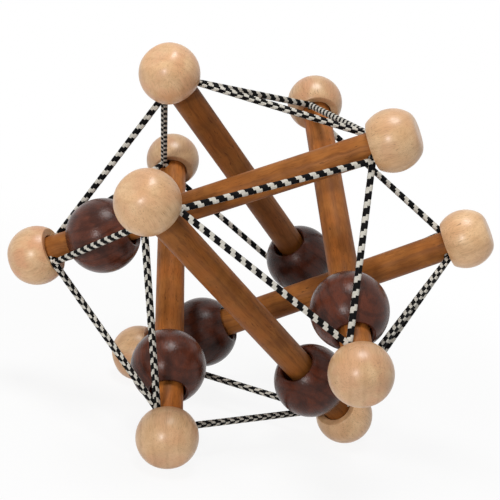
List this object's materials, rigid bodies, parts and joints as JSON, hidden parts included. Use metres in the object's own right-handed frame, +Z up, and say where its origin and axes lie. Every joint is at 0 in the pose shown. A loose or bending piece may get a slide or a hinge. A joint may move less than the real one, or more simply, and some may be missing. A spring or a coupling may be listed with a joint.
{
  "type": "tensegrity squeeze toy",
  "caption": "Round-ended wooden rods, each with a loose sliding bead, held apart in a springy open ball by braided elastic cord; it squeezes in and springs back.",
  "frame": {"origin": "middle of the underside of the bounding box, on the surface that the toy stands on", "axes": "+Z up from the three low balls that the toy stands on; -Y towards the picture's viewer"},
  "size_m": [0.1636, 0.1406, 0.1292],
  "materials": {
    "pale_wood": "satin lacquer",
    "honey_wood": "satin stain",
    "dark_wood": "semi-gloss stain",
    "braided_elastic": "black and cream braid"
  },
  "bodies": {
    "upper_rod_1": {"upper_rod_1": "honey_wood", "upper_ball_1_high": "pale_wood", "cord_crossing_upper_1_high": "braided_elastic", "upper_ball_1_low": "pale_wood", "cord_crossing_upper_1_low": "braided_elastic"},
    "upper_rod_2": {"upper_rod_2": "honey_wood", "upper_ball_2_high": "pale_wood", "cord_crossing_upper_2_high": "braided_elastic", "upper_ball_2_low": "pale_wood", "cord_crossing_upper_2_low": "braided_elastic"},
    "upper_rod_3": {"upper_rod_3": "honey_wood", "upper_ball_3_high": "pale_wood", "cord_crossing_upper_3_high": "braided_elastic", "upper_ball_3_low": "pale_wood", "cord_crossing_upper_3_low": "braided_elastic"},
    "lower_rod_1": {"lower_rod_1": "honey_wood", "lower_ball_1_high": "pale_wood", "cord_crossing_lower_1_high": "braided_elastic", "lower_ball_1_low": "pale_wood", "cord_crossing_lower_1_low": "braided_elastic"},
    "lower_rod_2": {"lower_rod_2": "honey_wood", "lower_ball_2_high": "pale_wood", "cord_crossing_lower_2_high": "braided_elastic", "lower_ball_2_low": "pale_wood", "cord_crossing_lower_2_low": "braided_elastic"},
    "lower_rod_3": {"lower_rod_3": "honey_wood", "lower_ball_3_high": "pale_wood", "cord_crossing_lower_3_high": "braided_elastic", "lower_ball_3_low": "pale_wood", "cord_crossing_lower_3_low": "braided_elastic"},
    "upper_bead_1": {"upper_bead_1": "dark_wood"},
    "upper_bead_2": {"upper_bead_2": "dark_wood"},
    "upper_bead_3": {"upper_bead_3": "dark_wood"},
    "lower_bead_1": {"lower_bead_1": "dark_wood"},
    "lower_bead_2": {"lower_bead_2": "dark_wood"},
    "lower_bead_3": {"lower_bead_3": "dark_wood"},
    "cord_upper_1_high_to_upper_2_high": {"cord_upper_1_high_to_upper_2_high": "braided_elastic"},
    "cord_upper_2_high_to_upper_3_high": {"cord_upper_2_high_to_upper_3_high": "braided_elastic"},
    "cord_upper_3_high_to_upper_1_high": {"cord_upper_3_high_to_upper_1_high": "braided_elastic"},
    "cord_upper_1_high_to_lower_2_high": {"cord_upper_1_high_to_lower_2_high": "braided_elastic"},
    "cord_lower_2_high_to_upper_3_low": {"cord_lower_2_high_to_upper_3_low": "braided_elastic"},
    "cord_upper_3_low_to_upper_1_high": {"cord_upper_3_low_to_upper_1_high": "braided_elastic"},
    "cord_lower_1_high_to_upper_2_low": {"cord_lower_1_high_to_upper_2_low": "braided_elastic"},
    "cord_upper_2_low_to_upper_3_high": {"cord_upper_2_low_to_upper_3_high": "braided_elastic"},
    "cord_upper_3_high_to_lower_1_high": {"cord_upper_3_high_to_lower_1_high": "braided_elastic"},
    "cord_lower_1_high_to_lower_2_low": {"cord_lower_1_high_to_lower_2_low": "braided_elastic"},
    "cord_lower_2_low_to_upper_3_low": {"cord_lower_2_low_to_upper_3_low": "braided_elastic"},
    "cord_upper_3_low_to_lower_1_high": {"cord_upper_3_low_to_lower_1_high": "braided_elastic"},
    "cord_upper_1_low_to_upper_2_high": {"cord_upper_1_low_to_upper_2_high": "braided_elastic"},
    "cord_upper_2_high_to_lower_3_high": {"cord_upper_2_high_to_lower_3_high": "braided_elastic"},
    "cord_lower_3_high_to_upper_1_low": {"cord_lower_3_high_to_upper_1_low": "braided_elastic"},
    "cord_upper_1_low_to_lower_2_high": {"cord_upper_1_low_to_lower_2_high": "braided_elastic"},
    "cord_lower_2_high_to_lower_3_low": {"cord_lower_2_high_to_lower_3_low": "braided_elastic"},
    "cord_lower_3_low_to_upper_1_low": {"cord_lower_3_low_to_upper_1_low": "braided_elastic"},
    "cord_lower_1_low_to_upper_2_low": {"cord_lower_1_low_to_upper_2_low": "braided_elastic"},
    "cord_upper_2_low_to_lower_3_high": {"cord_upper_2_low_to_lower_3_high": "braided_elastic"},
    "cord_lower_3_high_to_lower_1_low": {"cord_lower_3_high_to_lower_1_low": "braided_elastic"},
    "cord_lower_1_low_to_lower_2_low": {"cord_lower_1_low_to_lower_2_low": "braided_elastic"},
    "cord_lower_2_low_to_lower_3_low": {"cord_lower_2_low_to_lower_3_low": "braided_elastic"},
    "cord_lower_3_low_to_lower_1_low": {"cord_lower_3_low_to_lower_1_low": "braided_elastic"}
  },
  "joints": [
    {"name": "squeeze", "type": "slide", "parent": "lower_rod_3", "child": "upper_rod_3", "axis": [-0.7659, 0.2095, -0.6079], "range_m": [-0.016, 0.018], "stiffness_N_per_m": 250, "springref_m": -0.0008},
    {"name": "squeeze_upper_rod_1", "type": "slide", "parent": "lower_rod_3", "child": "upper_rod_1", "axis": [-0.1069, 0.513, -0.8517], "range_m": [-0.01141, 0.01283]},
    {"name": "squeeze_upper_rod_2", "type": "slide", "parent": "lower_rod_3", "child": "upper_rod_2", "axis": [-0.4082, -0.4392, -0.8003], "range_m": [-0.01141, 0.01283]},
    {"name": "squeeze_lower_rod_1", "type": "slide", "parent": "lower_rod_3", "child": "lower_rod_1", "axis": [-0.9762, -0.2167, -0.008], "range_m": [-0.01141, 0.01283]},
    {"name": "squeeze_lower_rod_2", "type": "slide", "parent": "lower_rod_3", "child": "lower_rod_2", "axis": [-0.6749, 0.7355, -0.0594], "range_m": [-0.01141, 0.01283]},
    {"name": "upper_bead_1_slide", "type": "slide", "parent": "upper_rod_1", "child": "upper_bead_1", "axis": [0.8348, -0.1454, 0.531], "range_m": [0, 0.07742]},
    {"name": "upper_bead_2_slide", "type": "slide", "parent": "upper_rod_2", "child": "upper_bead_2", "axis": [-0.5668, -0.5278, 0.6326], "range_m": [0, 0.07777]},
    {"name": "upper_bead_3_slide", "type": "slide", "parent": "upper_rod_3", "child": "upper_bead_3", "axis": [-0.2284, 0.8404, 0.4914], "range_m": [0, 0.0764]},
    {"name": "lower_bead_1_slide", "type": "slide", "parent": "lower_rod_1", "child": "lower_bead_1", "axis": [0.8094, -0.1349, 0.5716], "range_m": [0, 0.07653]},
    {"name": "lower_bead_2_slide", "type": "slide", "parent": "lower_rod_2", "child": "lower_bead_2", "axis": [-0.6147, -0.5159, 0.5966], "range_m": [0, 0.07797]},
    {"name": "lower_bead_3_slide", "type": "slide", "parent": "lower_rod_3", "child": "lower_bead_3", "axis": [-0.1886, 0.8306, 0.5239], "range_m": [0, 0.07072]},
    {"name": "swing_upper_1_high_to_upper_2_high", "type": "hinge", "parent": "upper_rod_1", "child": "cord_upper_1_high_to_upper_2_high", "pos_m": [0.0287, -0.01962, 0.11551], "axis": [0.0498, 0.0381, 0.998], "range_deg": [-10.71, 12.02]},
    {"name": "swing_upper_2_high_to_upper_3_high", "type": "hinge", "parent": "upper_rod_2", "child": "cord_upper_2_high_to_upper_3_high", "pos_m": [-0.03018, -0.00512, 0.1179], "axis": [0.0151, 0.0942, 0.9954], "range_deg": [-10.95, 12.29]},
    {"name": "swing_upper_3_high_to_upper_1_high", "type": "hinge", "parent": "upper_rod_3", "child": "cord_upper_3_high_to_upper_1_high", "pos_m": [0.00903, 0.03881, 0.11314], "axis": [-0.0159, 0.0351, 0.9993], "range_deg": [-10.5, 11.79]},
    {"name": "swing_upper_1_high_to_lower_2_high", "type": "hinge", "parent": "upper_rod_1", "child": "cord_upper_1_high_to_lower_2_high", "pos_m": [0.031, -0.02975, 0.10912], "axis": [-0.2582, 0.866, -0.4283], "range_deg": [-9.89, 11.1]},
    {"name": "swing_lower_2_high_to_upper_3_low", "type": "hinge", "parent": "lower_rod_2", "child": "cord_lower_2_high_to_upper_3_low", "pos_m": [-0.02409, -0.05736, 0.0865], "axis": [-0.1969, 0.8984, -0.3926], "range_deg": [-9.92, 11.13]},
    {"name": "swing_upper_3_low_to_upper_1_high", "type": "hinge", "parent": "upper_rod_3", "child": "cord_upper_3_low_to_upper_1_high", "pos_m": [0.03515, -0.0573, 0.05695], "axis": [-0.1876, 0.8624, -0.4702], "range_deg": [-11, 12.35]},
    {"name": "swing_lower_1_high_to_upper_2_low", "type": "hinge", "parent": "lower_rod_1", "child": "cord_lower_1_high_to_upper_2_low", "pos_m": [0.06441, 0.01151, 0.08282], "axis": [-0.6643, -0.6923, -0.2818], "range_deg": [-10.09, 11.32]},
    {"name": "swing_upper_2_low_to_upper_3_high", "type": "hinge", "parent": "upper_rod_2", "child": "cord_upper_2_low_to_upper_3_high", "pos_m": [0.03464, 0.05524, 0.04556], "axis": [-0.6861, -0.6552, -0.3162], "range_deg": [-10.24, 11.5]},
    {"name": "swing_upper_3_high_to_lower_1_high", "type": "hinge", "parent": "upper_rod_3", "child": "cord_upper_3_high_to_lower_1_high", "pos_m": [0.01653, 0.0451, 0.10587], "axis": [-0.6438, -0.6885, -0.3339], "range_deg": [-10.37, 11.64]},
    {"name": "swing_lower_1_high_to_lower_2_low", "type": "hinge", "parent": "lower_rod_1", "child": "cord_lower_1_high_to_lower_2_low", "pos_m": [0.06706, 0.00131, 0.07666], "axis": [0.8974, -0.3013, -0.3222], "range_deg": [-10.53, 11.82]},
    {"name": "swing_lower_2_low_to_upper_3_low", "type": "hinge", "parent": "lower_rod_2", "child": "cord_lower_2_low_to_upper_3_low", "pos_m": [0.0462, 0.00164, 0.01827], "axis": [0.9108, -0.2551, -0.3245], "range_deg": [-10.66, 11.97]},
    {"name": "swing_upper_3_low_to_lower_1_high", "type": "hinge", "parent": "upper_rod_3", "child": "cord_upper_3_low_to_lower_1_high", "pos_m": [0.04265, -0.051, 0.04967], "axis": [0.9166, -0.281, -0.2843], "range_deg": [-10.27, 11.53]},
    {"name": "swing_upper_1_low_to_upper_2_high", "type": "hinge", "parent": "upper_rod_1", "child": "cord_upper_1_low_to_upper_2_high", "pos_m": [-0.06677, -0.00299, 0.05478], "axis": [0.8624, -0.2951, -0.4114], "range_deg": [-10.47, 11.76]},
    {"name": "swing_upper_2_high_to_lower_3_high", "type": "hinge", "parent": "upper_rod_2", "child": "cord_upper_2_high_to_lower_3_high", "pos_m": [-0.03997, -0.00295, 0.11094], "axis": [0.9126, -0.2175, -0.3461], "range_deg": [-10.41, 11.68]},
    {"name": "swing_lower_3_high_to_upper_1_low", "type": "hinge", "parent": "lower_rod_3", "child": "cord_lower_3_high_to_upper_1_low", "pos_m": [-0.03994, 0.05022, 0.07758], "axis": [0.8964, -0.3209, -0.3058], "range_deg": [-10.23, 11.48]},
    {"name": "swing_upper_1_low_to_lower_2_high", "type": "hinge", "parent": "upper_rod_1", "child": "cord_upper_1_low_to_lower_2_high", "pos_m": [-0.06446, -0.01312, 0.04839], "axis": [-0.661, -0.6969, -0.2782], "range_deg": [-10.81, 12.14]},
    {"name": "swing_lower_2_high_to_lower_3_low", "type": "hinge", "parent": "lower_rod_2", "child": "cord_lower_2_high_to_lower_3_low", "pos_m": [-0.03343, -0.05481, 0.07908], "axis": [-0.6962, -0.6614, -0.2789], "range_deg": [-10.23, 11.49]},
    {"name": "swing_lower_3_low_to_upper_1_low", "type": "hinge", "parent": "lower_rod_3", "child": "cord_lower_3_low_to_upper_1_low", "pos_m": [-0.01837, -0.04477, 0.01767], "axis": [-0.6716, -0.6689, -0.3186], "range_deg": [-10.23, 11.48]},
    {"name": "swing_lower_1_low_to_upper_2_low", "type": "hinge", "parent": "lower_rod_1", "child": "cord_lower_1_low_to_upper_2_low", "pos_m": [-0.02814, 0.02693, 0.01745], "axis": [-0.3021, 0.8392, -0.4522], "range_deg": [-10.04, 11.27]},
    {"name": "swing_upper_2_low_to_lower_3_high", "type": "hinge", "parent": "upper_rod_2", "child": "cord_upper_2_low_to_lower_3_high", "pos_m": [0.02486, 0.0574, 0.0386], "axis": [-0.2236, 0.8981, -0.3788], "range_deg": [-9.98, 11.21]},
    {"name": "swing_lower_3_high_to_lower_1_low", "type": "hinge", "parent": "lower_rod_3", "child": "cord_lower_3_high_to_lower_1_low", "pos_m": [-0.03244, 0.05651, 0.0703], "axis": [-0.1849, 0.8511, -0.4914], "range_deg": [-10.72, 12.04]},
    {"name": "swing_lower_1_low_to_lower_2_low", "type": "hinge", "parent": "lower_rod_1", "child": "cord_lower_1_low_to_lower_2_low", "pos_m": [-0.0255, 0.01674, 0.0113], "axis": [0.0169, 0.0485, 0.9987], "range_deg": [-10.19, 11.44]},
    {"name": "swing_lower_2_low_to_lower_3_low", "type": "hinge", "parent": "lower_rod_2", "child": "cord_lower_2_low_to_lower_3_low", "pos_m": [0.03686, 0.00419, 0.01085], "axis": [-0.0449, 0.0394, 0.9982], "range_deg": [-10.23, 11.49]},
    {"name": "swing_lower_3_low_to_lower_1_low", "type": "hinge", "parent": "lower_rod_3", "child": "cord_lower_3_low_to_lower_1_low", "pos_m": [-0.01087, -0.03847, 0.01039], "axis": [-0.0042, -0.0176, 0.9998], "range_deg": [-11.37, 12.76]}
  ],
  "couplings": [
    {"joint": "squeeze_upper_rod_1", "follows": "squeeze", "ratio": 0.70711},
    {"joint": "squeeze_upper_rod_2", "follows": "squeeze", "ratio": 0.70711},
    {"joint": "squeeze_lower_rod_1", "follows": "squeeze", "ratio": 0.70711},
    {"joint": "squeeze_lower_rod_2", "follows": "squeeze", "ratio": 0.70711},
    {"joint": "swing_upper_1_high_to_upper_2_high", "follows": "squeeze", "rad_per_m": 11.46},
    {"joint": "swing_upper_2_high_to_upper_3_high", "follows": "squeeze", "rad_per_m": 11.723},
    {"joint": "swing_upper_3_high_to_upper_1_high", "follows": "squeeze", "rad_per_m": 11.236},
    {"joint": "swing_upper_1_high_to_lower_2_high", "follows": "squeeze", "rad_per_m": 10.572},
    {"joint": "swing_lower_2_high_to_upper_3_low", "follows": "squeeze", "rad_per_m": 10.599},
    {"joint": "swing_upper_3_low_to_upper_1_high", "follows": "squeeze", "rad_per_m": 11.78},
    {"joint": "swing_lower_1_high_to_upper_2_low", "follows": "squeeze", "rad_per_m": 10.785},
    {"joint": "swing_upper_2_low_to_upper_3_high", "follows": "squeeze", "rad_per_m": 10.957},
    {"joint": "swing_upper_3_high_to_lower_1_high", "follows": "squeeze", "rad_per_m": 11.09},
    {"joint": "swing_lower_1_high_to_lower_2_low", "follows": "squeeze", "rad_per_m": 11.268},
    {"joint": "swing_lower_2_low_to_upper_3_low", "follows": "squeeze", "rad_per_m": 11.41},
    {"joint": "swing_upper_3_low_to_lower_1_high", "follows": "squeeze", "rad_per_m": 10.99},
    {"joint": "swing_upper_1_low_to_upper_2_high", "follows": "squeeze", "rad_per_m": 11.206},
    {"joint": "swing_upper_2_high_to_lower_3_high", "follows": "squeeze", "rad_per_m": 11.134},
    {"joint": "swing_lower_3_high_to_upper_1_low", "follows": "squeeze", "rad_per_m": 10.942},
    {"joint": "swing_upper_1_low_to_lower_2_high", "follows": "squeeze", "rad_per_m": 11.573},
    {"joint": "swing_lower_2_high_to_lower_3_low", "follows": "squeeze", "rad_per_m": 10.944},
    {"joint": "swing_lower_3_low_to_upper_1_low", "follows": "squeeze", "rad_per_m": 10.942},
    {"joint": "swing_lower_1_low_to_upper_2_low", "follows": "squeeze", "rad_per_m": 10.731},
    {"joint": "swing_upper_2_low_to_lower_3_high", "follows": "squeeze", "rad_per_m": 10.671},
    {"joint": "swing_lower_3_high_to_lower_1_low", "follows": "squeeze", "rad_per_m": 11.477},
    {"joint": "swing_lower_1_low_to_lower_2_low", "follows": "squeeze", "rad_per_m": 10.901},
    {"joint": "swing_lower_2_low_to_lower_3_low", "follows": "squeeze", "rad_per_m": 10.944},
    {"joint": "swing_lower_3_low_to_lower_1_low", "follows": "squeeze", "rad_per_m": 12.182}
  ]
}
